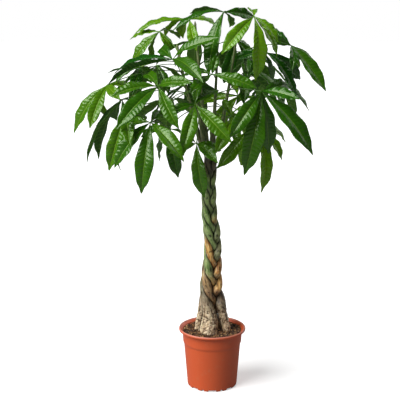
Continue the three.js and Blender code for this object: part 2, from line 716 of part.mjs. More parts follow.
const group = new THREE.Group();

function addPiece(name, geometry, [color, roughness]) {
  const material = new THREE.MeshStandardMaterial({ color, roughness, metalness: 0 });
  const mesh = new THREE.Mesh(geometry, material);
  mesh.name = name;
  group.add(mesh);
}

addPiece("pot", makePot(), FINISHES.pot);
addPiece("soil", makeSoil(STEMS.map((row, k) => stemHole(k))), FINISHES.soil);
STEMS.forEach((row, k) => addPiece(`stem_${k + 1}`, makeStem(k), FINISHES.stem));

const seats = STEMS.map((row, k) => toSolid(makeStem(k, SEAT_CUT)));
const rows = [...LEAVES, ...BACK_LEAVES];
const paths = STEMS.map((row, k) => stemPath(k));
const petioles = placePetioles(rows, paths);
const leaflets = placeLeaflets(rows, petioles, paths, drawer(LEAF_SEED));
petioles.forEach((petiole, leaf) => {
  const own = leaflets.filter((leaflet) => leaflet.leaf === leaf);
  const name = `leaf_${String(leaf + 1).padStart(2, "0")}`;
  addPiece(name, makeLeaf(petiole, own, seats), FINISHES.leaf);
});

export default group;
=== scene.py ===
"""The looks of a potted money tree: five braided stems that carry palmate leaves, in a nursery pot.

Lengths are millimetres, as in the CAD, until a mesh or a light is made. +Z is up, and -Y is the
front. The pot, the soil and the stems are rebuilt from the same formulas as the CAD. Each leaf is
rebuilt from its CAD solid, whose rings tell the curves of its petiole and leaflets.
"""

import math
import random
from itertools import combinations

import bpy
import numpy as np
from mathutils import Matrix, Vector, noise


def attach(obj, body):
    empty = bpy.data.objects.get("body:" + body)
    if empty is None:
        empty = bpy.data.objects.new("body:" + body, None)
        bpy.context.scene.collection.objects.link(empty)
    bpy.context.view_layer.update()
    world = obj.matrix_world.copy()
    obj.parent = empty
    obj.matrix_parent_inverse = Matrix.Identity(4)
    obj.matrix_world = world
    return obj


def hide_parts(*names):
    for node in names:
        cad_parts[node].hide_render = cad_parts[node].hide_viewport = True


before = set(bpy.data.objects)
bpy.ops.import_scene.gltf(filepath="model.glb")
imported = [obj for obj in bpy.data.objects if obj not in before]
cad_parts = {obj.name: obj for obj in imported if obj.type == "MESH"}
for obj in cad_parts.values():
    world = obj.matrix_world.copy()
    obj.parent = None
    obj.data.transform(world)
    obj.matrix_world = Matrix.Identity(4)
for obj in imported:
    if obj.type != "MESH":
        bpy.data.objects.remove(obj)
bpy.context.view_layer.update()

MM = 0.001
BODY = "root"

# ---- Driving dimensions ----

# The pot, as in the CAD.
RIM_RADIUS = 120
RIM_TOP = 216
RIM_DEPTH = 9
RIM_MOUTH_RADIUS = 113
COLLAR_TOP_RADIUS = 107.5
COLLAR_FOOT_RADIUS = 104.5
COLLAR_FOOT = 164
SHOULDER_RADIUS = 101
SHOULDER = 156
BODY_FOOT_RADIUS = 89.5
BODY_FOOT = 10
FOOT_RADIUS = 87
FOOT_WIDTH = 6
FOOT_BEVEL = (2, 3)  # outwards, upwards
FLOOR_BOTTOM = 7
FLOOR_TOP = 9.5
WALL = 2.2
BOSS_RADIUS = 16
NOTCH_TOP = 6
FOOT_PAIRS = 8
FOOT_ANGLE = 11  # degrees that one foot spans
PAIR_NOTCH_ANGLE = 5  # degrees between the two feet of a pair

# The pot's finer edges.
RIM_DRAFT = 0.8
RIM_SIDE = 4  # below the top, where the rim's side turns in
RIM_CROWN = (2.2, 2.4)  # inwards from the outer edge, and outwards from the mouth
RIM_MOUTH_DEPTH = 3
SHOULDER_HOLD = (0.3, 5)  # inwards and down, a point that keeps the wall straight under the edge
COLLAR_HOLD = (0.4, 6)  # outwards and up, one that keeps it straight above
POT_STEP_ANGLE = 2.5
NOTCH_SLOPE_ANGLE = 0.7
ANGLE_TOLERANCE = 0.01

# The soil and the bark chips on it.
SOIL_TOP = 203
SOIL_LUMP = 2
SOIL_WAVES = (0.11, 0.09, 0.05)  # radians a millimetre
SOIL_GAP = 0.5  # inside the pot's wall
SOIL_SEAT = 0.3  # above the pot's floor
SOIL_RINGS = 34
SOIL_SIDES = 120
CHIP_COUNT = 1500
CHIP_SEED = 7
CHIP_LENGTHS = (5, 19)
CHIP_OUTLINE = (0.0, 0.75, 1.0, 0.95, 0.6, 0.0)  # of its half width, from end to end
CHIP_SIDES = 6
CHIP_HALF_WIDTH = 0.2  # of its length
CHIP_HALF_THICKNESS = 0.13
CHIP_UNEVENNESS = (0.75, 1.1)
CHIP_KINK = 0.3  # radians
CHIP_BREADTHS = (0.6, 1.3)
CHIP_SHADES = (0.4, 0.32)  # mean, spread
CHIP_TILT = 0.4  # how far a typical chip leans, for 1 upwards
CHIP_RISE = (0.3, 3)
CHIP_MARGIN = 3  # from the wall

# The stems, as in the CAD.
SOIL_LINE = 206
STEM_BOTTOM = 178
SWELLING_TOP = 330
BRAID_END = 820
SHOOT_START = 890
BRAID_PITCH = 325
BRAID_PHASE_HEIGHT = 500
BRAID_SEAM = 0.4
LEFT_SHARE = 0.7
LEFT_DEPTH = 0.85
RIGHT_DEPTH = 0.7
LEFT_HASTE = 0.25
BRAID_SWING = [
    (330, 25), (377, 24.5), (444, 21), (507, 18), (558, 17.5), (631, 16), (685, 15), (820, 12.5),
]
BRAID_LEAN = [
    (330, 4.5), (377, 3.5), (444, 0.5), (507, -1.5), (560, 0), (631, 10), (685, 12), (750, 12),
    (820, 7),
]
STRAND_RADIUS = [
    (330, 17), (377, 15.5), (444, 14), (507, 13), (560, 13), (631, 12), (820, 10.5), (920, 9),
    (985, 6.5), (1100, 4.6), (1300, 3.6),
]
STEMS = [
    {"foot": (-44, 8), "foot_radius": 17, "braided": 330, "end": (85, 30, 1275)},
    {"foot": (24, 24), "foot_radius": 14, "braided": 330, "end": (-65, -90, 1135)},
    {"foot": (51, -6), "foot_radius": 14, "braided": 380, "end": (-120, 10, 1215)},
    {"foot": (-6, 38), "foot_radius": 15, "braided": 330, "end": (-60, 85, 1285)},
    {"foot": (-13, -25), "foot_radius": 30, "braided": 330, "end": (14, -60, 1200)},
]
SHOOT_BEND = 0.7

# What the bark adds.
STRAND_FULLER = 1.03  # strands press on each other harder than the CAD's rigid ones may
STRAND_GAP = 0.3
SEAM_ROUNDING = 1.3  # of a strand's edge where it meets another
SEAM_SHADE = 4  # how far from another strand the painted shade of the crease reaches
LEAST_FACING = 0.05  # a strand presses on what faces its neighbour at least this much
WOOD_FADE = 60  # below and above the start of the shoots, where the bark turns smooth
WART_HEIGHT = 4
WART_LEVEL = 0.3  # of that height, where the plain bark lies
STEM_SIDES = 64
STEM_STEP = 2.5
BUD_LENGTH = 16
BUD_RINGS = [(0.15, 1.1), (0.35, 1.15), (0.6, 0.8), (0.85, 0.4), (1, 0.03)]  # part, width

# The bark's colours up each stem: (height, pale, green, tan, dark).
SHOOT_COLOURS = [(945, 0, 0.7, 0, 0.65), (1010, 0, 1, 0, 0.55)]
# Dark on the feet of stems 2 and 4, which stand behind, is painted shade.
BARK_COLOURS = [
    [(270, 1, 0, 0, 0), (325, 0.1, 0, 0.1, 0.1), (400, 0, 0.1, 0.2, 0), (423, 0, 0, 0.9, 0),
     (469, 0, 0, 0.9, 0), (490, 0, 0.6, 0.3, 0), (510, 0, 0.9, 0, 0), (620, 0, 0.95, 0, 0),
     (755, 0, 0.9, 0, 0), (800, 0, 0.3, 0.1, 0.65), *SHOOT_COLOURS],
    [(215, 0.8, 0, 0, 0), (250, 0.1, 0, 0.1, 0.6), (360, 0, 0, 0.4, 0.1), (372, 0, 0, 0.9, 0),
     (415, 0, 0, 0.8, 0), (440, 0, 0, 0.6, 0), (460, 0, 0, 1, 0), (545, 0, 0.1, 0.9, 0),
     (570, 0, 0.8, 0.1, 0), (650, 0, 0.8, 0, 0.1), (765, 0, 0.85, 0, 0.05),
     (805, 0, 0.2, 0, 0.75), *SHOOT_COLOURS],
    [(255, 1, 0, 0, 0), (312, 0.15, 0, 0, 0.4), (360, 0, 0, 0.2, 0.4), (378, 0, 0, 0.8, 0),
     (402, 0, 0.2, 0.6, 0), (425, 0, 0.75, 0.1, 0), (490, 0, 0.7, 0, 0.05), (596, 0, 0.6, 0, 0.3),
     (612, 0, 0.2, 0.7, 0), (640, 0, 0.7, 0, 0.2), (700, 0, 0.85, 0, 0), (765, 0, 0.8, 0, 0.1),
     (805, 0, 0.3, 0.2, 0.55), *SHOOT_COLOURS],
    [(215, 0.6, 0, 0, 0.2), (250, 0, 0, 0, 0.6), (290, 0.1, 0, 0.35, 0.1),
     (420, 0.05, 0.05, 0.45, 0), (450, 0, 0.4, 0.1, 0.1), (560, 0, 0.6, 0, 0.35),
     (640, 0, 0.95, 0, 0), (760, 0, 0.9, 0, 0), (795, 0, 0.3, 0.3, 0.5), *SHOOT_COLOURS],
    [(268, 1, 0, 0, 0), (322, 0.2, 0, 0, 0.1), (335, 0.1, 0.05, 0, 0.15), (420, 0, 0.4, 0.1, 0.2),
     (530, 0, 0.6, 0, 0.3), (565, 0, 0.95, 0, 0), (670, 0, 0.95, 0, 0), (765, 0, 0.85, 0, 0),
     (805, 0, 0.2, 0.1, 0.65), *SHOOT_COLOURS],
]

# The noises, as (height, grain in mm, how much longer than wide a grain is, seed).
CLODS = (2.2, 16, 1, 1)
CRUMBS = (1.4, 6, 1, 2)
LUMPS = (1.6, 34, 1, 3)
RIDGES = (0.8, 8, 5, 13)
WARTS = [(0.5, 10, 1, 23), (0.8, 4.6, 1, 26)]
COLOUR_DRIFT = (14, 22, 1, 33)  # how far the border between two colours wanders
COLOUR_FRAY = (5, 6, 1, 36)
COLOUR_MOTTLE = (0.5, 26, 1.6, 43)  # how much a colour comes and goes
SEED_STRIDE = 17.3  # how far apart two seeds are read, in grains

# The corners of the CAD's leaves, by which a leaf is read from its solid.
BLADE_THICKNESS = 0.9
BLADE_STATIONS = (0.56, 0.82)  # the two rings nearest to the tip
RING_CORNERS = 6
PETIOLE_RADIUS = 1.7
PETIOLE_STATIONS = (0.4, 0.64)  # the two rings of the slim part
PETIOLE_CORNERS = 4
RING_REACH = 2.2  # petiole radii, within which a corner finds the others of its ring
RING_APART = 1
CORNER_TOLERANCE = 0.02
BLADE_OUTLINE = (1.35, 0.95)  # how fast it widens from the hub and narrows to the tip
OUTLINE_PEAK = 0.2103  # the largest value that these two give

# Leaflets. A part is one of the blade's length from the hub, or of its half width outwards.
VEIN_SPACING = 13.5
ROWS_PER_VEIN = 4
VEIN_SLANT = 0.95  # how far a vein runs forward for 1 outward
VEIN_CURVE = 1.5
BLADE_COLUMNS = [0, 0.05, 0.12, 0.3, 0.52, 0.74, 0.9, 1]
BLADE_TWIST = 14  # degrees at the tip, either way at most
TIP_START = (0.93, 0.045)  # part where the drip tip sets in, and over how much
TIP_NARROWS = 0.3
EDGE_RIPPLE = (0.035, 19)  # of the half width, and radians along the blade
EDGE_WAVE = 2.4
EDGE_WAVES = (2.5, 4.5)  # how many an edge has
PHASES = (0, 6)  # radians, where a ripple or a wave may start
BLADE_SWAY = 0.012  # of the length, up or down at most
FOLD_STEEPER = 0.5  # how much steeper the fold is at the midrib than its mean
PUFF = 2.2  # rise of the blade between two veins
PUFF_START = (0.02, 0.3)
PUFF_END = 0.8
PUFF_AT_EDGE = 0.45
RIB_GROOVE = (0.5, 0.07)  # depth, part
SKIN = 0.3  # half the blade's thickness
SKIN_TAPER = 0.5
KEEL = 1.1  # the midrib under the blade, at its start
KEEL_TAPER = 0.75
KEEL_WIDTH = 0.075
KEEL_START = (0.02, 0.12)
STALK_RADIUS = 1.4
STALK_PART = 0.09  # before the blade spreads
LEAF_SEED = 100

# Petioles, whose ends are swollen: (how much, where, over which part of the length).
PETIOLE_SWELLINGS = [(0.9, 0, 0.1), (0.75, 0.985, 0.03)]
PETIOLE_RINGS = 40
PETIOLE_SIDES = 12
PETIOLE_CAP = (2.2, 0.9)  # how far it goes on past the hub, and its radius there

# How young each leaf is, from 0, dark and tough, to 1, pale and thin.
LEAF_AGE = {
    1: 0.3, 2: 0.28, 3: 0.1, 4: 0.35, 5: 0.6, 6: 0.1, 7: 0.65, 8: 0.9, 9: 0.1, 10: 0.95,
    11: 0.15, 12: 0.1, 13: 0.12, 14: 0.85, 15: 0.15, 16: 0.38, 17: 0.6, 18: 0.8, 19: 0.9,
    20: 0.4, 21: 0.3, 22: 0.1, 23: 0.2, 24: 0.2, 25: 0.3, 26: 0.1, 27: 0.2, 28: 0.3,
    29: 0.7, 30: 0.1, 31: 0.15,
}
AGE_VARIES = 0.16  # from leaflet to leaflet
LEAF_GLOW = 0.32  # share of a blade's look that is light shining through

# The camera and the floor, in metres.
CAMERA_PLACE = (-0.044, -4.0, 1.647)
CAMERA_TARGET = (-0.044, 0.0, 0.685)
CAMERA_LENS = 105.5  # mm, on a 36 mm sensor
FLOOR_REACH = 12

# The lamps, as (degrees to the right of the front, degrees above the horizon).
KEY_WAY = (-58, 42)
KEY_POWER = 4.2
KEY_SPREAD = 50
BACK_WAY = (135, 34)
BACK_POWER = 1.0
BACK_SPREAD = 60
LAMP_DISTANCE = 4  # metres
AMBIENT = 0.06
FLOOR_GLOW = 0.4


# ---- Small helpers ----

def ease(low, high, value):
    """From 0 at `low` to 1 at `high`, with a soft start and end."""
    part = np.clip((value - low) / (high - low), 0, 1)
    return part * part * (3 - 2 * part)


def bell(value, middle, width):
    return np.exp(-((value - middle) / width) ** 2)


def mix(a, b, part):
    return a + (b - a) * part


def along(rows, height):
    """The value at a height in a list of (height, value)."""
    heights, values = zip(*rows)
    return np.interp(height, heights, values)


def unit(vectors):
    return vectors / np.linalg.norm(vectors, axis=-1, keepdims=True)


def around(sides):
    """Angles in even steps, once round."""
    return np.linspace(0, math.tau, sides, endpoint=False)


def degrees_from(angle, angles):
    """How far each of some angles lies from one, the short way round."""
    return np.abs((angles - angle + 180) % 360 - 180)


def rough(points, kind, number=0):
    """One of the noises at each point; `number` is added to its seed."""
    height, grain, stretch, seed = kind
    scaled = points / (grain, grain, grain * stretch) + SEED_STRIDE * (seed + number)
    values = [noise.noise(place) for place in scaled.reshape(-1, 3).tolist()]
    return height * np.array(values).reshape(points.shape[:-1])


def lathe(outline, angles):
    """A ring of points round Z for each (radius, height) of an outline."""
    radius, height = outline[:, None, 0], outline[:, None, 1]
    return np.stack(np.broadcast_arrays(
        radius * np.cos(angles), radius * np.sin(angles), height * np.ones_like(angles)), -1)


def grid_faces(rows, columns, closed):
    """Faces of a grid of points that is `columns` wide, and closes on itself or not."""
    r, c = np.meshgrid(np.arange(rows - 1), np.arange(columns - (not closed)), indexing="ij")
    a = r * columns + c
    b = r * columns + (c + 1) % columns
    return np.stack([a, b, b + columns, a + columns], -1).reshape(-1, 4)


def add_object(name, data):
    thing = bpy.data.objects.new(name, data)
    bpy.context.scene.collection.objects.link(thing)
    return thing


def make_piece(name, points, faces, material, nodes=(), values=None, uv=None):
    """A smooth piece of the plant, from points in mm. `values` are numbers or vectors for each
    point, which the material reads by name."""
    mesh = bpy.data.meshes.new(name)
    mesh.from_pydata((np.asarray(points) * MM).tolist(), [], [list(f) for f in faces])
    mesh.polygons.foreach_set("use_smooth", [True] * len(mesh.polygons))
    for key, numbers in (values or {}).items():
        numbers = np.asarray(numbers, np.float32)
        vectors = numbers.shape[-1] == 3
        layer = mesh.attributes.new(key, "FLOAT_VECTOR" if vectors else "FLOAT", "POINT")
        layer.data.foreach_set("vector" if vectors else "value", numbers.ravel())
    if uv is not None:
        corners = np.empty(len(mesh.loops), np.int32)
        mesh.loops.foreach_get("vertex_index", corners)
        layer = mesh.uv_layers.new(name="grain")
        layer.data.foreach_set("uv", np.asarray(uv, np.float32)[corners].ravel())
    mesh.materials.append(material)
    mesh.validate()
    piece = add_object(name, mesh)
    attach(piece, BODY)
    if nodes:
        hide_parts(*nodes)


# ---- Materials ----

class Shader:
    """A material's node tree. Each method adds nodes and gives back their output."""

    def __init__(self, name):
        self.material = bpy.data.materials.new(name)
        self.material.use_nodes = True
        self.tree = self.material.node_tree
        self.tree.nodes.clear()

    def add(self, kind, output=0, inputs=None, **settings):
        node = self.tree.nodes.new("ShaderNode" + kind)
        for key, value in settings.items():
            setattr(node, key, value)
        for key, value in (inputs or {}).items():
            if isinstance(value, bpy.types.NodeSocket):
                self.tree.links.new(value, node.inputs[key])
            else:
                node.inputs[key].default_value = value
        return node.outputs[output]

    def places(self):
        return self.add("TexCoord", "Object")

    def value(self, name, output="Fac"):
        return self.add("Attribute", output, attribute_name=name)

    def math(self, operation, a, b=0.0, c=0.0):
        return self.add("Math", inputs={0: a, 1: b, 2: c}, operation=operation)

    def between(self, low, high, value):
        """`low` where the value is 0 and `high` where it is 1."""
        return self.math("MULTIPLY_ADD", value, high - low, low)

    def step(self, low, high, value):
        """0 below `low` and 1 above `high`, or the other way round if `low` is the larger."""
        ends = {"Value": value, "From Min": low, "From Max": high}
        return self.add("MapRange", inputs=ends, interpolation_type="SMOOTHSTEP")

    def noise(self, scale, detail, roughness=0.55, stretch=None, on=None):
        places = on or self.places()
        if stretch:
            places = self.add("Mapping", inputs={"Vector": places, "Scale": stretch})
        inputs = {"Vector": places, "Scale": scale, "Detail": detail, "Roughness": roughness}
        return self.add("TexNoise", "Fac", inputs)

    def cells(self, scale):
        """How far each place is from the border between two cells."""
        inputs = {"Vector": self.places(), "Scale": scale}
        return self.add("TexVoronoi", "Distance", inputs, feature="DISTANCE_TO_EDGE")

    def blend(self, factor, a, b):
        return self.add("Mix", 2, {0: factor, 6: a, 7: b}, data_type="RGBA")

    def tinge(self, base, shade, where, most):
        """`base`, with `most` of another colour where `where` is 1."""
        return self.blend(self.math("MULTIPLY", where, most), base, shade)

    def ramp(self, factor, stops):
        """A colour for each value of `factor`; stops are (position, colour)."""
        colours = self.add("ValToRGB", "Color", {"Fac": factor})
        elements = colours.node.color_ramp.elements
        while len(elements) < len(stops):
            elements.new(0.5)
        for element, (position, shade) in zip(elements, stops):
            element.position = position
            element.color = shade
        return colours

    def bump(self, height, strength, distance, normal=None):
        inputs = {"Height": height, "Strength": strength, "Distance": distance * MM}
        if normal is not None:
            inputs["Normal"] = normal
        return self.add("Bump", "Normal", inputs)

    def principled(self, tint, roughness, normal, uniform=None):
        """A Principled surface; `uniform` holds what is the same all over it."""
        inputs = {"Base Color": tint, "Roughness": roughness, "Normal": normal}
        return self.add("BsdfPrincipled", "BSDF", {**inputs, **(uniform or {})})

    def finish(self, surface):
        output = self.tree.nodes.new("ShaderNodeOutputMaterial")
        self.tree.links.new(surface, output.inputs["Surface"])
        return self.material


def colour(red, green, blue):
    """A colour given as it looks on a screen, from 0 to 255, as the light values of a shader."""
    shares = [value / 255 for value in (red, green, blue)]
    linear = [s / 12.92 if s < 0.04045 else ((s + 0.055) / 1.055) ** 2.4 for s in shares]
    return (*linear, 1.0)


def leaf_material():
    """Glossy and dark above, pale and dull below, with a pale midrib and side veins."""
    shader = Shader("leaf_blade")
    grain = shader.add("SeparateXYZ", inputs={0: shader.add("UVMap", uv_map="grain")}).node
    phase, across = grain.outputs["X"], grain.outputs["Y"]
    rib = shader.step(0.075, 0.03, shader.math("ABSOLUTE", across))
    vein = shader.step(0.1, 0.02, shader.math("PINGPONG", phase, 0.5))
    age, under = shader.value("age"), shader.value("under")
    patches = shader.noise(28, 3)
    mottle = shader.noise(140, 5)
    net = shader.step(0.09, 0.0, shader.cells(330))

    old = shader.blend(patches, colour(4, 62, 0), colour(18, 100, 4))
    young = shader.blend(patches, colour(80, 152, 4), colour(146, 194, 20))
    blade = shader.tinge(shader.blend(age, old, young), colour(28, 108, 10), mottle, 0.35)
    pale = shader.blend(age, colour(104, 158, 40), colour(172, 200, 74))
    for lines, strength in ((net, 0.1), (vein, 0.2), (rib, 0.8)):
        blade = shader.tinge(blade, pale, lines, strength)
    dull = shader.blend(age, colour(46, 96, 18), colour(124, 170, 40))
    dull = shader.tinge(dull, colour(92, 134, 44), net, 0.25)
    dull = shader.blend(shader.math("MAXIMUM", rib, vein), dull, colour(116, 156, 56))
    tint = shader.blend(under, blade, dull)

    relief = shader.bump(shader.math("MULTIPLY_ADD", net, -0.5, mottle), 0.3, 0.22)
    gloss = shader.math("MULTIPLY_ADD", under, 0.45, shader.between(0.15, 0.31, mottle))
    surface = shader.principled(tint, gloss, relief, {
        "Specular IOR Level": 0.8, "Specular Tint": (0.85, 1, 0.68, 1)})
    through = shader.blend(age, colour(92, 162, 0), colour(200, 234, 16))
    glow = shader.add("BsdfTranslucent", "BSDF", {"Color": through, "Normal": relief})
    return shader.finish(shader.add("MixShader", inputs={0: LEAF_GLOW, 1: surface, 2: glow}))


def stalk_material():
    shader = Shader("leaf_stalk")
    patches = shader.noise(60, 4)
    streaks = shader.noise(90, 4, stretch=(1, 1, 0.15))
    green = shader.blend(patches, colour(48, 96, 20), colour(96, 144, 40))
    green = shader.blend(shader.step(0.55, 0.75, streaks), green, colour(132, 150, 60))
    relief = shader.bump(streaks, 0.4, 0.3)
    return shader.finish(shader.principled(green, shader.between(0.42, 0.62, patches), relief))


def bark_material():
    """Pale and warty at the foot, green and tan in the braid, dark above, green in the shoots.
    The values `pale`, `green`, `tan` and `dark` say how much of each a place has, `seam` how
    close another stem is, for a painted shade in the crease, and `wart` how far a knob stands
    out, with painted shade in the hollows between knobs. `straight` is the place on the stem
    as if it were straight, along which the fibres run. Part of the dark is painted shade, and
    the pale flecks are painted glints."""
    shader = Shader("stem_bark")
    straight = shader.value("straight", "Vector")
    blotches = shader.noise(60, 4, 0.6, on=straight, stretch=(1, 1, 0.5))
    fibres = shader.noise(190, 5, 0.6, on=straight, stretch=(1, 1, 0.16))
    grit = shader.noise(420, 4, 0.6, on=straight)
    specks_and_painted_glints = shader.noise(130, 2, 0.5, on=straight, stretch=(1, 1, 0.4))
    streak = shader.step(0.4, 0.62, fibres)
    blotch = shader.step(0.35, 0.65, blotches)

    base = shader.blend(blotch, colour(84, 70, 54), colour(158, 136, 110))
    base = shader.tinge(base, colour(178, 160, 134), streak, 0.5)
    warty = shader.blend(streak, colour(204, 178, 140), colour(250, 232, 198))
    # Painted shade in the hollows between the knobs.
    knob_hollow_shade = shader.step(0.62, 0.1, shader.value("wart"))
    warty = shader.blend(knob_hollow_shade, warty, colour(96, 72, 48))
    base = shader.blend(shader.value("pale"), base, warty)
    tan = shader.blend(streak, colour(176, 108, 46), colour(244, 196, 116))
    base = shader.blend(shader.value("tan"), base, tan)
    green = shader.blend(blotch, colour(78, 122, 42), colour(170, 202, 116))
    green = shader.tinge(green, colour(200, 210, 152), streak, 0.5)
    base = shader.blend(shader.value("green"), base, green)
    # Pale flecks along the fibres are painted glints; the dark specks below are the bark's own.
    base = shader.tinge(base, colour(222, 214, 170), shader.step(0.6, 0.7, specks_and_painted_glints), 0.5)
    # Dark bark; on the feet of stems 2 and 4, which stand behind, it is painted shade.
    dark_bark_and_shade = shader.blend(streak, colour(20, 17, 8), colour(66, 60, 34))
    base = shader.blend(shader.value("dark"), base, dark_bark_and_shade)
    base = shader.tinge(base, colour(38, 28, 18), shader.step(0.43, 0.33, specks_and_painted_glints), 0.8)
    # Painted shade, near black, in the creases where the strands meet.
    base = shader.tinge(base, colour(12, 10, 7), shader.value("seam"), 0.95)

    relief = shader.bump(grit, 0.5, 0.6, shader.bump(fibres, 0.9, 2.4))
    return shader.finish(shader.principled(
        base, shader.between(0.26, 0.56, grit), relief, {"Specular IOR Level": 0.35}))


def soil_material():
    shader = Shader("bark_compost")
    clods = shader.noise(60, 6, 0.7)
    crumbs = shader.noise(380, 5, 0.65)
    brown = shader.ramp(clods, [
        (0.35, colour(26, 16, 10)), (0.5, colour(70, 46, 30)), (0.66, colour(136, 94, 54))])
    brown = shader.blend(shader.step(0.5, 0.7, crumbs), brown, colour(38, 26, 16))
    relief = shader.bump(crumbs, 0.8, 1.2, shader.bump(clods, 0.8, 4))
    return shader.finish(shader.principled(brown, shader.between(0.75, 0.95, crumbs), relief))


def chip_material():
    """`shade` differs from chip to chip."""
    shader = Shader("bark_chips")
    fibres = shader.noise(200, 5, 0.6, stretch=(1, 0.4, 1))
    tint = shader.ramp(shader.value("shade"), [
        (0.0, colour(34, 18, 8)), (0.3, colour(94, 58, 32)), (0.6, colour(154, 108, 60)),
        (1.0, colour(226, 184, 126))])
    tint = shader.blend(shader.step(0.62, 0.4, fibres), tint, colour(60, 40, 26))
    relief = shader.bump(fibres, 0.7, 1.0)
    return shader.finish(shader.principled(tint, shader.between(0.7, 0.9, fibres), relief))


def plastic_material():
    """Injection-moulded terracotta plastic: satin, with faint flow marks and dust, and a painted
    highlight, paler, on top of the rim."""
    shader = Shader("pot_plastic")
    flow = shader.noise(9, 3, stretch=(1, 1, 0.25))
    grain = shader.noise(900, 2)
    dust = shader.noise(45, 5, 0.7)
    height = shader.add("SeparateXYZ", "Z", {0: shader.places()})
    # A painted highlight, paler, on top of the rim, where the rolled edge catches the light.
    rim = shader.step((RIM_TOP - 5) * MM, (RIM_TOP - 1) * MM, height)
    tint = shader.blend(flow, colour(196, 79, 37), colour(212, 92, 46))
    tint = shader.tinge(tint, colour(184, 118, 84), shader.step(0.5, 0.8, dust), 0.3)
    tint = shader.tinge(tint, colour(226, 164, 146), rim, 0.45)
    relief = shader.bump(grain, 0.12, 0.2)
    return shader.finish(shader.principled(tint, shader.between(0.36, 0.52, dust), relief))


def floor_material():
    """Pale where it is seen, with faint shadows, and less so as a reflector, so that it doesn't
    light the pot from below."""
    shader = Shader("pale_floor")
    cloud = shader.noise(2, 2)
    seen = shader.blend(cloud, (0.86, 0.86, 0.86, 1), (0.9, 0.9, 0.9, 1))
    view = shader.add("LightPath", "Is Camera Ray")
    tint = shader.blend(view, (0.3, 0.3, 0.3, 1), seen)
    return shader.finish(shader.add("BsdfPrincipled", "BSDF", {
        "Base Color": tint, "Roughness": 0.8, "Emission Color": (1, 1, 1, 1),
        "Emission Strength": shader.math("MULTIPLY", view, FLOOR_GLOW)}))


# ---- Pot ----

def rounded(corners, steps=3):
    """An outline of (radius, height, rounding) with each corner turned into a short arc."""
    outline = []
    for i, (x, z, rounding) in enumerate(corners):
        here = np.array([x, z], float)
        if rounding == 0:
            outline.append(here)
            continue
        before = unit(np.array(corners[i - 1][:2]) - here)
        after = unit(np.array(corners[i + 1][:2]) - here)
        for t in np.linspace(0, 1, steps + 1):
            outline.append(here + rounding * ((1 - t) ** 2 * before + t ** 2 * after))
    return np.array(outline)


def pot_outline():
    """From the middle of the foot, up the outside and down the inside, to the middle again."""
    foot_inside = FOOT_RADIUS - FOOT_WIDTH
    rim_foot = RIM_TOP - RIM_DEPTH
    return rounded([
        (0, 0, 0), (BOSS_RADIUS, 0, 0.8), (BOSS_RADIUS + 1, FLOOR_BOTTOM, 1),
        (foot_inside - 1, FLOOR_BOTTOM, 1), (foot_inside, 0, 1), (FOOT_RADIUS, 0, 1),
        (FOOT_RADIUS + FOOT_BEVEL[0], FOOT_BEVEL[1], 1), (BODY_FOOT_RADIUS, BODY_FOOT, 3),
        (SHOULDER_RADIUS - SHOULDER_HOLD[0], SHOULDER - SHOULDER_HOLD[1], 2),
        (SHOULDER_RADIUS, SHOULDER, 2.5), (COLLAR_FOOT_RADIUS, COLLAR_FOOT, 3),
        (COLLAR_FOOT_RADIUS + COLLAR_HOLD[0], COLLAR_FOOT + COLLAR_HOLD[1], 1.5),
        (COLLAR_TOP_RADIUS, rim_foot, 1.5), (RIM_RADIUS - RIM_DRAFT, rim_foot, 1.2),
        (RIM_RADIUS, RIM_TOP - RIM_SIDE, 2), (RIM_RADIUS - RIM_CROWN[0], RIM_TOP, 2),
        (RIM_MOUTH_RADIUS + RIM_CROWN[1], RIM_TOP, 1.6),
        (RIM_MOUTH_RADIUS, RIM_TOP - RIM_MOUTH_DEPTH, 1.2),
        (COLLAR_TOP_RADIUS - WALL, rim_foot, 1.5), (COLLAR_FOOT_RADIUS - WALL, COLLAR_FOOT, 2),
        (SHOULDER_RADIUS - WALL, SHOULDER, 2), (BODY_FOOT_RADIUS - WALL, FLOOR_TOP, 1),
        (0, FLOOR_TOP, 0),
    ])


def gaps_between_feet():
    """The middle and half the width of each gap, in degrees."""
    pitch = 360 / FOOT_PAIRS
    arch = pitch - 2 * FOOT_ANGLE - PAIR_NOTCH_ANGLE
    for i in range(FOOT_PAIRS):
        yield pitch * i, arch / 2
        yield pitch * (i + 0.5), PAIR_NOTCH_ANGLE / 2


def pot_angles():
    """Even steps, with two close ones at each side of each gap between the feet."""
    angles = set(np.arange(0, 360, POT_STEP_ANGLE).tolist())
    for middle, half in gaps_between_feet():
        for side in (-1, 1):
            edge = middle + side * half
            angles -= {a for a in angles if degrees_from(edge, a) < NOTCH_SLOPE_ANGLE}
            angles |= {edge % 360, (edge + side * NOTCH_SLOPE_ANGLE) % 360}
    return np.array(sorted(angles))


def raise_gaps(points, angles):
    """Lifts the foot ring between the feet."""
    in_foot_ring = np.hypot(points[..., 0], points[..., 1]) > FOOT_RADIUS - 2 * FOOT_WIDTH
    for middle, half in gaps_between_feet():
        in_gap = degrees_from(middle, angles) < half + ANGLE_TOLERANCE
        low = in_foot_ring & in_gap & (points[..., 2] < NOTCH_TOP)
        points[..., 2][low] = NOTCH_TOP


def make_pot(material):
    angles = pot_angles()
    points = lathe(pot_outline(), np.radians(angles))
    raise_gaps(points, angles)
    faces = grid_faces(len(points), len(angles), True)
    make_piece("pot_shell", points.reshape(-1, 3), faces, material, ["pot"])


# ---- Soil ----

def soil_height(x, y):
    wide, deep, aslant = SOIL_WAVES
    wave = np.sin(wide * x + 1) * np.cos(deep * y) + np.sin(aslant * (x - y)) / 2
    return SOIL_TOP + SOIL_LUMP * wave


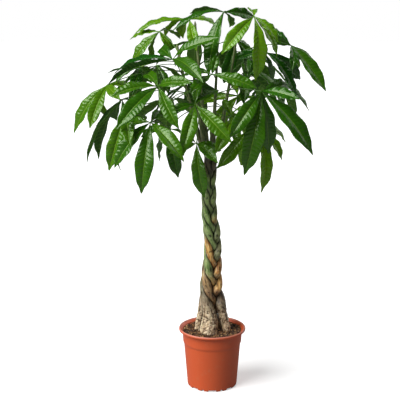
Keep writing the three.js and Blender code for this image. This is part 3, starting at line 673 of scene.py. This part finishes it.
def make_soil(material):
    """The filling, closed below, with a crumbly top."""
    inset = WALL + SOIL_GAP
    wall = np.interp(SOIL_TOP, [COLLAR_FOOT, RIM_TOP - RIM_DEPTH],
                     [COLLAR_FOOT_RADIUS, COLLAR_TOP_RADIUS]) - inset
    below = [(0, FLOOR_TOP + SOIL_SEAT), (BODY_FOOT_RADIUS - inset, FLOOR_TOP + SOIL_SEAT),
             (SHOULDER_RADIUS - inset, SHOULDER), (COLLAR_FOOT_RADIUS - inset, COLLAR_FOOT)]
    top = [(wall * (1 - i / SOIL_RINGS), SOIL_TOP) for i in range(SOIL_RINGS + 1)]
    points = lathe(np.array(below + top), around(SOIL_SIDES))
    crust = points[len(below):]
    lumps = rough(crust, CLODS) + rough(crust, CRUMBS)
    crust[..., 2] = soil_height(crust[..., 0], crust[..., 1]) + lumps
    faces = grid_faces(len(points), SOIL_SIDES, True)
    make_piece("soil_filling", points.reshape(-1, 3), faces, material, ["soil"])


def chip_shape(draw):
    """One rounded, uneven splinter of bark, 1 long, as the points of a small grid."""
    rings = []
    for i, reach in enumerate(CHIP_OUTLINE):
        x = i / (len(CHIP_OUTLINE) - 1) - 0.5
        for j in range(CHIP_SIDES):
            angle = math.tau * j / CHIP_SIDES + CHIP_KINK * draw.uniform(-1, 1)
            size = reach * draw.uniform(*CHIP_UNEVENNESS)
            rings.append((x, CHIP_HALF_WIDTH * size * math.cos(angle),
                          CHIP_HALF_THICKNESS * size * math.sin(angle)))
    return np.array(rings)


def place_chip(shape, draw):
    """A chip of some size, tilted a little, turned and laid somewhere on the soil."""
    shape = shape * draw.uniform(*CHIP_LENGTHS) * (1, draw.uniform(*CHIP_BREADTHS), 1)
    lean = Vector((draw.gauss(0, CHIP_TILT), draw.gauss(0, CHIP_TILT), 1)).normalized()
    tilt = np.array(Vector((0, 0, 1)).rotation_difference(lean).to_matrix())
    spin = draw.uniform(0, math.tau)
    c, s = math.cos(spin), math.sin(spin)
    shape = shape @ np.array([[c, s, 0], [-s, c, 0], [0, 0, 1]]) @ tilt.T
    wall = COLLAR_TOP_RADIUS - WALL - CHIP_MARGIN
    radius, angle = wall * math.sqrt(draw.random()), draw.uniform(0, math.tau)
    x, y = radius * math.cos(angle), radius * math.sin(angle)
    return shape + (x, y, soil_height(x, y) + draw.uniform(*CHIP_RISE))


def make_chips(material):
    draw = random.Random(CHIP_SEED)
    pattern = grid_faces(len(CHIP_OUTLINE), CHIP_SIDES, True)
    points, faces, shades = [], [], []
    for i in range(CHIP_COUNT):
        chip = place_chip(chip_shape(draw), draw)
        points.append(chip)
        faces.append(pattern + i * len(chip))
        shades.append(np.full(len(chip), min(1, abs(draw.gauss(*CHIP_SHADES)))))
    make_piece("bark_chips", np.concatenate(points), np.concatenate(faces), material,
               values={"shade": np.concatenate(shades)})


# ---- Stems ----

def figure_of_eight(turns):
    """Where a stem is after so many turns of the braid, over half its swing: across and deep."""
    turn = turns % 1
    left = turn < LEFT_SHARE
    part = np.where(left, turn / LEFT_SHARE, (turn - LEFT_SHARE) / (1 - LEFT_SHARE))
    haste = np.where(left, LEFT_HASTE, 0)
    angle = math.pi * part - haste * np.sin(math.pi * part) ** 2
    width = np.where(left, -1 - BRAID_SEAM, 1 - BRAID_SEAM)
    depth = np.where(left, LEFT_DEPTH, RIGHT_DEPTH)
    return BRAID_SEAM + width * np.sin(angle), -depth * np.sin(2 * angle)


def stem_middle(stem, height):
    """The middle of a stem at each height, as in the CAD."""
    foot, end = STEMS[stem]["foot"], STEMS[stem]["end"]
    turns = (height - BRAID_PHASE_HEIGHT) / BRAID_PITCH + stem / len(STEMS)
    across, deep = figure_of_eight(turns)
    swing, lean = along(BRAID_SWING, height), along(BRAID_LEAN, height)
    braid = np.stack([swing * across - lean, swing * deep], -1)
    out = (np.maximum(0, height - BRAID_END) / (end[2] - BRAID_END)) ** SHOOT_BEND
    shoot = np.stack([mix(-lean, end[0], out), mix(0, end[1], out)], -1)
    rise = ease(SOIL_LINE, STEMS[stem]["braided"], height)[..., None]
    leave = ease(BRAID_END, SHOOT_START, height)[..., None]
    return mix(mix(np.array(foot, float), braid, rise), shoot, leave)


def stem_radius(stem, height):
    top = STRAND_RADIUS[0][1]
    swollen = mix(STEMS[stem]["foot_radius"], top, ease(SOIL_LINE, SWELLING_TOP, height))
    return STRAND_FULLER * np.where(height < SWELLING_TOP, swollen, along(STRAND_RADIUS, height))


def stem_reach(stem, heights, directions):
    """How far a stem reaches each way at each height before it presses on a neighbour."""
    middle, radius = stem_middle(stem, heights), stem_radius(stem, heights)
    limits = np.full((len(heights), len(directions)), np.inf)
    for other in range(len(STEMS)):
        if other == stem:
            continue
        gap = stem_middle(other, heights) - middle
        apart = np.maximum(1e-6, np.linalg.norm(gap, axis=1))
        heading = gap / apart[:, None]
        facing = heading[:, :1] * np.cos(directions) + heading[:, 1:] * np.sin(directions)
        theirs = stem_radius(other, heights)
        share = (apart ** 2 + radius ** 2 - theirs ** 2 - apart * STRAND_GAP) / (2 * apart)
        limit = share[:, None] / np.maximum(LEAST_FACING, facing)
        limits = np.where(facing > LEAST_FACING, np.minimum(limits, limit), limits)
    flush = (radius[:, None] - limits) / SEAM_ROUNDING
    return radius[:, None] - SEAM_ROUNDING * np.logaddexp(0, flush)


def warts(stem, points):
    """Between 0 and 1: how far a knob of the swollen foot stands out."""
    coarse, fine = (rough(points, kind, stem) for kind in WARTS)
    return np.clip(0.5 + coarse + fine, 0, 1)


def knobby(stem, heights):
    """How much of the knobs a stem has at each height: as much as of their pale colour."""
    levels, pale, *_ = zip(*BARK_COLOURS[stem])
    return np.interp(heights, levels, pale)[:, None]


def stem_skin(stem, points, heights):
    """How far the bark stands out: knobs at the foot, long ridges above."""
    woody = 1 - ease(SHOOT_START - WOOD_FADE, SHOOT_START + WOOD_FADE, heights[:, None])
    wood = rough(points, LUMPS, stem) + rough(points, RIDGES, stem)
    knobs = WART_HEIGHT * (warts(stem, points) - WART_LEVEL) * knobby(stem, heights)
    return wood * woody + knobs


def seam_shade(stem, points, heights):
    """Painted shade in the creases: 1 where another strand lies against the bark, and 0 well away
    from it.
    """
    clear = np.full(points.shape[:2], np.inf)
    for other in range(len(STEMS)):
        if other != stem:
            away = points[..., :2] - stem_middle(other, heights)[:, None]
            rim = np.linalg.norm(away, axis=-1) - stem_radius(other, heights)[:, None]
            clear = np.minimum(clear, rim)
    return np.exp(-np.maximum(0, clear) / SEAM_SHADE)


def bark_values(stem, points, heights):
    """What the bark's material reads at each point."""
    level = heights[:, None] + rough(points, COLOUR_DRIFT, stem) + rough(points, COLOUR_FRAY, stem)
    mottle = 1 + rough(points, COLOUR_MOTTLE, stem)
    levels, *columns = zip(*BARK_COLOURS[stem])
    values = {}
    for name, column in zip(("pale", "green", "tan", "dark"), columns):
        values[name] = np.clip(np.interp(level, levels, column) * mottle, 0, 1)
    middle = np.append(stem_middle(stem, heights), np.zeros((len(heights), 1)), 1)
    values["seam"] = seam_shade(stem, points, heights)
    values["wart"] = warts(stem, points)
    values["straight"] = (points - middle[:, None]) * MM
    return values


def bud_rings(middle, end, ways, reach):
    """The pointed bud that a shoot ends in, along the way the shoot goes."""
    lean = (middle[-1] - middle[-2]) / STEM_STEP
    rings = []
    for part, wide in BUD_RINGS:
        place = middle[-1] + lean * part * BUD_LENGTH
        ring = place + wide * reach[:, None] * ways
        height = np.full((len(ways), 1), end + part * BUD_LENGTH)
        rings.append(np.concatenate([ring, height], -1))
    return np.array(rings)


def make_stem(stem, material):
    end = STEMS[stem]["end"][2]
    steps = round((end - STEM_BOTTOM) / STEM_STEP)
    heights = np.linspace(STEM_BOTTOM, end, steps + 1)
    directions = around(STEM_SIDES)
    ways = np.stack([np.cos(directions), np.sin(directions)], -1)
    middle = stem_middle(stem, heights)
    levels = np.broadcast_to(heights[:, None, None], (len(heights), STEM_SIDES, 1))

    def rings(reach):
        return np.concatenate([middle[:, None] + reach[..., None] * ways, levels], -1)

    plain = stem_reach(stem, heights, directions)
    reach = plain + stem_skin(stem, rings(plain), heights)
    points = np.concatenate([rings(reach), bud_rings(middle, end, ways, reach[-1])])
    heights = np.append(heights, [end] * len(BUD_RINGS))
    faces = grid_faces(len(points), STEM_SIDES, True).tolist()
    foot = list(range(STEM_SIDES))[::-1]
    make_piece(f"stem_bark_{stem + 1}", points.reshape(-1, 3), [*faces, foot], material,
               [f"stem_{stem + 1}"], bark_values(stem, points, heights))


# ---- Leaves, as the CAD has them ----

def curve_weights(part):
    """How much a curve's start, bend and end each count at a part of its way."""
    return (1 - part) ** 2, 2 * part * (1 - part), part ** 2


def curve_point(start, bend, end, part):
    first, second, third = curve_weights(part[:, None])
    return first * start + second * bend + third * end


def curve_heading(start, bend, end, part):
    return unit((1 - part)[:, None] * (bend - start) + part[:, None] * (end - bend))


def solve_curve(parts, places, end):
    """A curve's start and bend, from two places on it and its end."""
    weights = np.array([curve_weights(part) for part in parts])
    return np.linalg.solve(weights[:, :2], np.array(places) - weights[:, 2:] * end)


def blade_spread(part):
    """Half the blade's width, as a part of the widest."""
    widens, narrows = BLADE_OUTLINE
    return part ** widens * (1 - part) ** narrows / OUTLINE_PEAK


def corners_of(node):
    """A CAD node's corners in mm, each once, and the corners that an edge joins each to."""
    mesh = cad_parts[node].data
    raw = np.empty(3 * len(mesh.vertices))
    mesh.vertices.foreach_get("co", raw)
    corners, place = np.unique((raw.reshape(-1, 3) / MM).round(3), axis=0, return_inverse=True)
    ends = np.empty(2 * len(mesh.edges), np.int32)
    mesh.edges.foreach_get("vertices", ends)
    joined = [set() for _ in corners]
    for a, b in place.ravel()[ends].reshape(-1, 2):
        if a != b:
            joined[a].add(int(b))
            joined[b].add(int(a))
    return corners, joined


def face_pairs(corners, few):
    """Pairs of corners on the two faces of a blade, which lie its thickness apart."""
    def apart(a, b):
        return np.linalg.norm(corners[a] - corners[b])

    return [pair for pair in combinations(sorted(few), 2)
            if abs(apart(*pair) - BLADE_THICKNESS) < CORNER_TOLERANCE]


def blade_ring(corners, pairs):
    """The middle and the two edges of a blade's ring, halfway between its two faces."""
    spots = [corners[list(pair)].mean(0) for pair in pairs]
    far = max(combinations(range(3), 2), key=lambda ij: np.linalg.norm(spots[ij[0]] - spots[ij[1]]))
    middle = spots[3 - sum(far)]
    return middle, spots[far[0]], spots[far[1]]


def read_blade(tip, rings):
    """A leaflet's curve, the way across it, its half width and its fold, from its last rings."""
    middles = [ring[0] for ring in rings]
    hub, crown = solve_curve(BLADE_STATIONS, middles, tip)
    middle, left, right = rings[0]
    across = right - left
    rise = (left + right) / 2 - middle
    heading = curve_heading(hub, crown, tip, np.array([BLADE_STATIONS[0]]))[0]
    side = unit(across)
    if np.dot(np.cross(heading, side), rise) < 0:
        side = -side
    half_across = np.linalg.norm(across) / 2
    return {
        "hub": hub, "crown": crown, "tip": tip, "side": side,
        "length": np.linalg.norm(tip - hub),
        "half": half_across / blade_spread(BLADE_STATIONS[0]),
        "fold": np.linalg.norm(rise) / half_across,
    }


def read_blades(corners, joined):
    """Every leaflet of a leaf's solid, and the corners that its last rings and its tip use."""
    blades, used = [], set()
    for tip, near in enumerate(joined):
        outer = face_pairs(corners, near)
        paired = {corner for pair in outer for corner in pair}
        if len(near) != RING_CORNERS or len(paired) != RING_CORNERS:
            continue
        beyond = set().union(*(joined[corner] for corner in near)) - near - {tip}
        inner = face_pairs(corners, beyond)
        rings = [blade_ring(corners, inner), blade_ring(corners, outer)]
        blades.append(read_blade(corners[tip], rings))
        used |= near | beyond | {tip}
    return blades, used


def read_petiole(corners, used, hub):
    """A petiole's root and bend, from the two slim rings that lie furthest from the leaflets."""
    left = [i for i in range(len(corners)) if i not in used]
    reach = RING_REACH * PETIOLE_RADIUS
    rings = []
    for i in left:
        near = [j for j in left if np.linalg.norm(corners[i] - corners[j]) < reach]
        middle = corners[near].mean(0)
        off = np.linalg.norm(corners[near] - middle, axis=1) - PETIOLE_RADIUS
        if len(near) == PETIOLE_CORNERS and np.abs(off).max() < CORNER_TOLERANCE:
            if all(np.linalg.norm(middle - ring) > RING_APART for ring in rings):
                rings.append(middle)
    rings.sort(key=lambda ring: -np.linalg.norm(ring - hub))
    return solve_curve(PETIOLE_STATIONS, rings[:2], hub)


# ---- Leaves, as they look ----

def blade_grid(blade, veins):
    """For each point of a leaflet's grid: the part of the midrib where its vein starts, the part
    of the length that the point lies at, and its share of the way to the edge."""
    along_rib = np.linspace(0, 1, ROWS_PER_VEIN * veins + 1)
    half_columns = np.array(BLADE_COLUMNS)
    across = np.concatenate([-half_columns[:0:-1], half_columns])
    start, share = np.meshgrid(along_rib, across, indexing="ij")
    forward = VEIN_SLANT * blade["half"] / blade["length"] * blade_spread(start)
    part = np.clip(start + forward * np.abs(share) ** VEIN_CURVE * (1 - start), 0, 1)
    return start, part, share


def blade_axes(blade, part, draw):
    """At each part: the midrib's place, the way across the blade and the way up from it."""
    flat = part.ravel()
    curve = blade["hub"], blade["crown"], blade["tip"]
    middle, heading = curve_point(*curve, flat), curve_heading(*curve, flat)
    twist = math.radians(draw.uniform(-BLADE_TWIST, BLADE_TWIST)) * flat ** 2
    up = np.cross(heading, blade["side"])
    across = np.cos(twist)[:, None] * blade["side"] + np.sin(twist)[:, None] * up
    up = np.cross(heading, across)
    return [axis.reshape(*part.shape, 3) for axis in (middle, across, up)]


def blade_width(part, draw):
    """Half the blade's width, as `blade_spread`, but rippled and with a drip tip."""
    depth, rate = EDGE_RIPPLE
    drip = 1 - TIP_NARROWS * bell(part, *TIP_START)
    return blade_spread(part) * drip * (1 + depth * np.sin(rate * part + draw.uniform(*PHASES)))


def blade_bends(blade, part, share, wide, spread, draw):
    """How far the blade rises by its fold, the waves of its edges and its sway."""
    off = np.abs(share)
    waves = draw.uniform(*EDGE_WAVES) * math.tau
    shift = np.where(share > 0, draw.uniform(*PHASES), draw.uniform(*PHASES))
    fold = blade["fold"] * np.abs(wide) * (1 + FOLD_STEEPER * (1 - off))
    wave = EDGE_WAVE * spread * off ** 2 * np.sin(waves * part + shift)
    sway = blade["length"] * BLADE_SWAY * draw.uniform(-1, 1) * np.sin(math.tau * part)
    return fold + wave + sway


def blade_puffs(phase, off, spread):
    """How far the blade rises between two veins, and sinks along the midrib."""
    room = ease(*PUFF_START, off) * (1 - (1 - PUFF_AT_EDGE) * ease(PUFF_END, 1, off))
    groove, width = RIB_GROOVE
    puff = PUFF * np.abs(np.sin(math.pi * phase)) * room
    return (puff - groove * bell(off, 0, width)) * np.sqrt(np.clip(spread, 0, 1))


def blade_skins(part, off, stalk):
    """How far the upper and the lower face lie from the middle of the blade."""
    skin = (SKIN + (STALK_RADIUS - SKIN) * stalk ** 0.7) * (1 - SKIN_TAPER * off ** 4)
    keel = KEEL * (1 - KEEL_TAPER * part) * bell(off, 0, KEEL_WIDTH) * ease(*KEEL_START, part)
    return skin, skin + keel


def leaflet_faces(blade, draw):
    """A leaflet's upper and lower face as two grids of points, with their grain: how many veins
    lie before a point, and its share of the way to the edge."""
    veins = round(blade["length"] / VEIN_SPACING)
    start, part, share = blade_grid(blade, veins)
    middle, across, up = blade_axes(blade, part, draw)
    spread = blade_width(part, draw)
    stalk = np.clip(1 - part / STALK_PART, 0, 1)
    wide = np.hypot(blade["half"] * spread, STALK_RADIUS * stalk) * share
    lift = blade_bends(blade, part, share, wide, spread, draw)
    phase = start * veins + draw.random()
    off = np.abs(share)
    lift += blade_puffs(phase, off, spread)
    centre = middle + wide[..., None] * across + lift[..., None] * up
    above, below = blade_skins(part, off, stalk)
    upper = centre + above[..., None] * up
    lower = centre - below[..., None] * up
    return upper, lower, np.stack([phase, share], -1)


def leaflet_mesh(blade, draw):
    """Points, faces, grain and which points lie below, for one closed leaflet."""
    upper, lower, grain = leaflet_faces(blade, draw)
    rows, columns = upper.shape[:2]
    count = rows * columns
    rims = []
    for i in range(rows - 1):
        a, b = i * columns, (i + 1) * columns
        rims.append((a + count, a, b, b + count))
        a, b = a + columns - 1, b + columns - 1
        rims.append((a, a + count, b + count, b))
    for j in range(columns - 1):
        a = (rows - 1) * columns + j
        rims.append((a + count, a + 1 + count, a + 1, a))
        rims.append((j, j + 1, j + 1 + count, j + count))
    top = grid_faces(rows, columns, False)
    faces = np.concatenate([top, top[:, ::-1] + count, np.array(rims)])[:, ::-1]
    points = np.concatenate([upper.reshape(-1, 3), lower.reshape(-1, 3)])
    grain = np.concatenate([grain.reshape(-1, 2)] * 2)
    return points, faces, grain, np.repeat([0.0, 1.0], count)


def make_petiole(number, root, knee, hub, material):
    """A round stalk, swollen at the stem and where the leaflets meet."""
    part = np.linspace(0, 1, PETIOLE_RINGS)
    middle = curve_point(root, knee, hub, part)
    heading = curve_heading(root, knee, hub, part)
    side = unit(np.cross(heading, unit(np.cross(knee - root, hub - root))[None]))
    other = np.cross(heading, side)
    swelling = sum(much * bell(part, place, over) for much, place, over in PETIOLE_SWELLINGS)
    cap_length, cap_radius = PETIOLE_CAP
    middle = np.concatenate([middle, middle[-1:] + cap_length * heading[-1:]])
    side, other = (np.concatenate([axis, axis[-1:]]) for axis in (side, other))
    radius = np.append(PETIOLE_RADIUS * (1 + swelling), cap_radius)
    angles = around(PETIOLE_SIDES)[:, None]
    ring = np.cos(angles) * side[:, None] + np.sin(angles) * other[:, None]
    points = (middle[:, None] + radius[:, None, None] * ring).reshape(-1, 3)
    faces = grid_faces(len(middle), PETIOLE_SIDES, True).tolist()
    ends = [list(range(PETIOLE_SIDES))[::-1], list(range(len(points)))[-PETIOLE_SIDES:]]
    make_piece(f"petiole_{number:02d}", points, faces + ends, material,
               [f"leaf_{number:02d}"])


def make_leaf(number, blade_look, stalk_look):
    node = f"leaf_{number:02d}"
    corners, joined = corners_of(node)
    blades, used = read_blades(corners, joined)
    hub = blades[0]["hub"]
    root, knee = read_petiole(corners, used, hub)
    draw = random.Random(LEAF_SEED + number)
    leaflets = []
    total = 0
    for blade in blades:
        points, faces, grain, under = leaflet_mesh(blade, draw)
        age = np.clip(LEAF_AGE[number] + draw.uniform(-AGE_VARIES, AGE_VARIES), 0, 1)
        leaflets.append((points, faces + total, grain, under, np.full(len(points), age)))
        total += len(points)
    points, faces, grain, under, age = map(np.concatenate, zip(*leaflets))
    make_piece(f"leaflets_{number:02d}", points, faces, blade_look, [node],
               {"under": under, "age": age}, grain)
    make_petiole(number, root, knee, hub, stalk_look)


# ---- Stage ----

def make_camera():
    data = bpy.data.cameras.new("camera")
    data.lens = CAMERA_LENS
    camera = add_object("camera", data)
    camera.location = CAMERA_PLACE
    aim = Vector(CAMERA_TARGET) - Vector(CAMERA_PLACE)
    camera.rotation_euler = aim.to_track_quat("-Z", "Y").to_euler()
    bpy.context.scene.camera = camera


def make_sun(name, way, power, spread):
    """A soft studio lamp so far away that it lights the floor evenly; `spread` is in degrees."""
    data = bpy.data.lights.new(name, "SUN")
    data.energy = power
    data.angle = math.radians(spread)
    light = add_object(name, data)
    azimuth, height = map(math.radians, way)
    place = Vector((math.sin(azimuth) * math.cos(height), -math.cos(azimuth) * math.cos(height),
                    math.sin(height)))
    light.location = LAMP_DISTANCE * place
    light.rotation_euler = (-place).to_track_quat("-Z", "Y").to_euler()


def make_world():
    """White where it is seen, and dimmer as a light, so that the leaves keep their deep colours."""
    world = bpy.data.worlds.new("studio")
    world.use_nodes = True
    tree = world.node_tree
    tree.nodes.clear()
    choice = tree.nodes.new("ShaderNodeMixShader")
    view = tree.nodes.new("ShaderNodeLightPath")
    tree.links.new(view.outputs["Is Camera Ray"], choice.inputs[0])
    for socket, strength in ((1, AMBIENT), (2, 1.0)):
        node = tree.nodes.new("ShaderNodeBackground")
        node.inputs["Color"].default_value = (1, 1, 1, 1)
        node.inputs["Strength"].default_value = strength
        tree.links.new(node.outputs[0], choice.inputs[socket])
    output = tree.nodes.new("ShaderNodeOutputWorld")
    tree.links.new(choice.outputs[0], output.inputs["Surface"])
    return world


def make_stage():
    mesh = bpy.data.meshes.new("floor")
    corners = [(-1, -1), (1, -1), (1, 1), (-1, 1)]
    mesh.from_pydata([(FLOOR_REACH * x, FLOOR_REACH * y, 0) for x, y in corners], [],
                     [(0, 1, 2, 3)])
    mesh.materials.append(floor_material())
    floor = add_object("floor", mesh)
    make_sun("key", KEY_WAY, KEY_POWER, KEY_SPREAD)
    make_sun("back", BACK_WAY, BACK_POWER, BACK_SPREAD)
    bpy.context.scene.world = make_world()
    bpy.context.scene.view_settings.view_transform = "Standard"


# ---- The whole plant ----

make_camera()
make_stage()
make_pot(plastic_material())
make_soil(soil_material())
make_chips(chip_material())
bark = bark_material()
for stem in range(len(STEMS)):
    make_stem(stem, bark)
blade_green, stalk_green = leaf_material(), stalk_material()
for leaf in LEAF_AGE:
    make_leaf(leaf, blade_green, stalk_green)

bpy.context.view_layer.update()
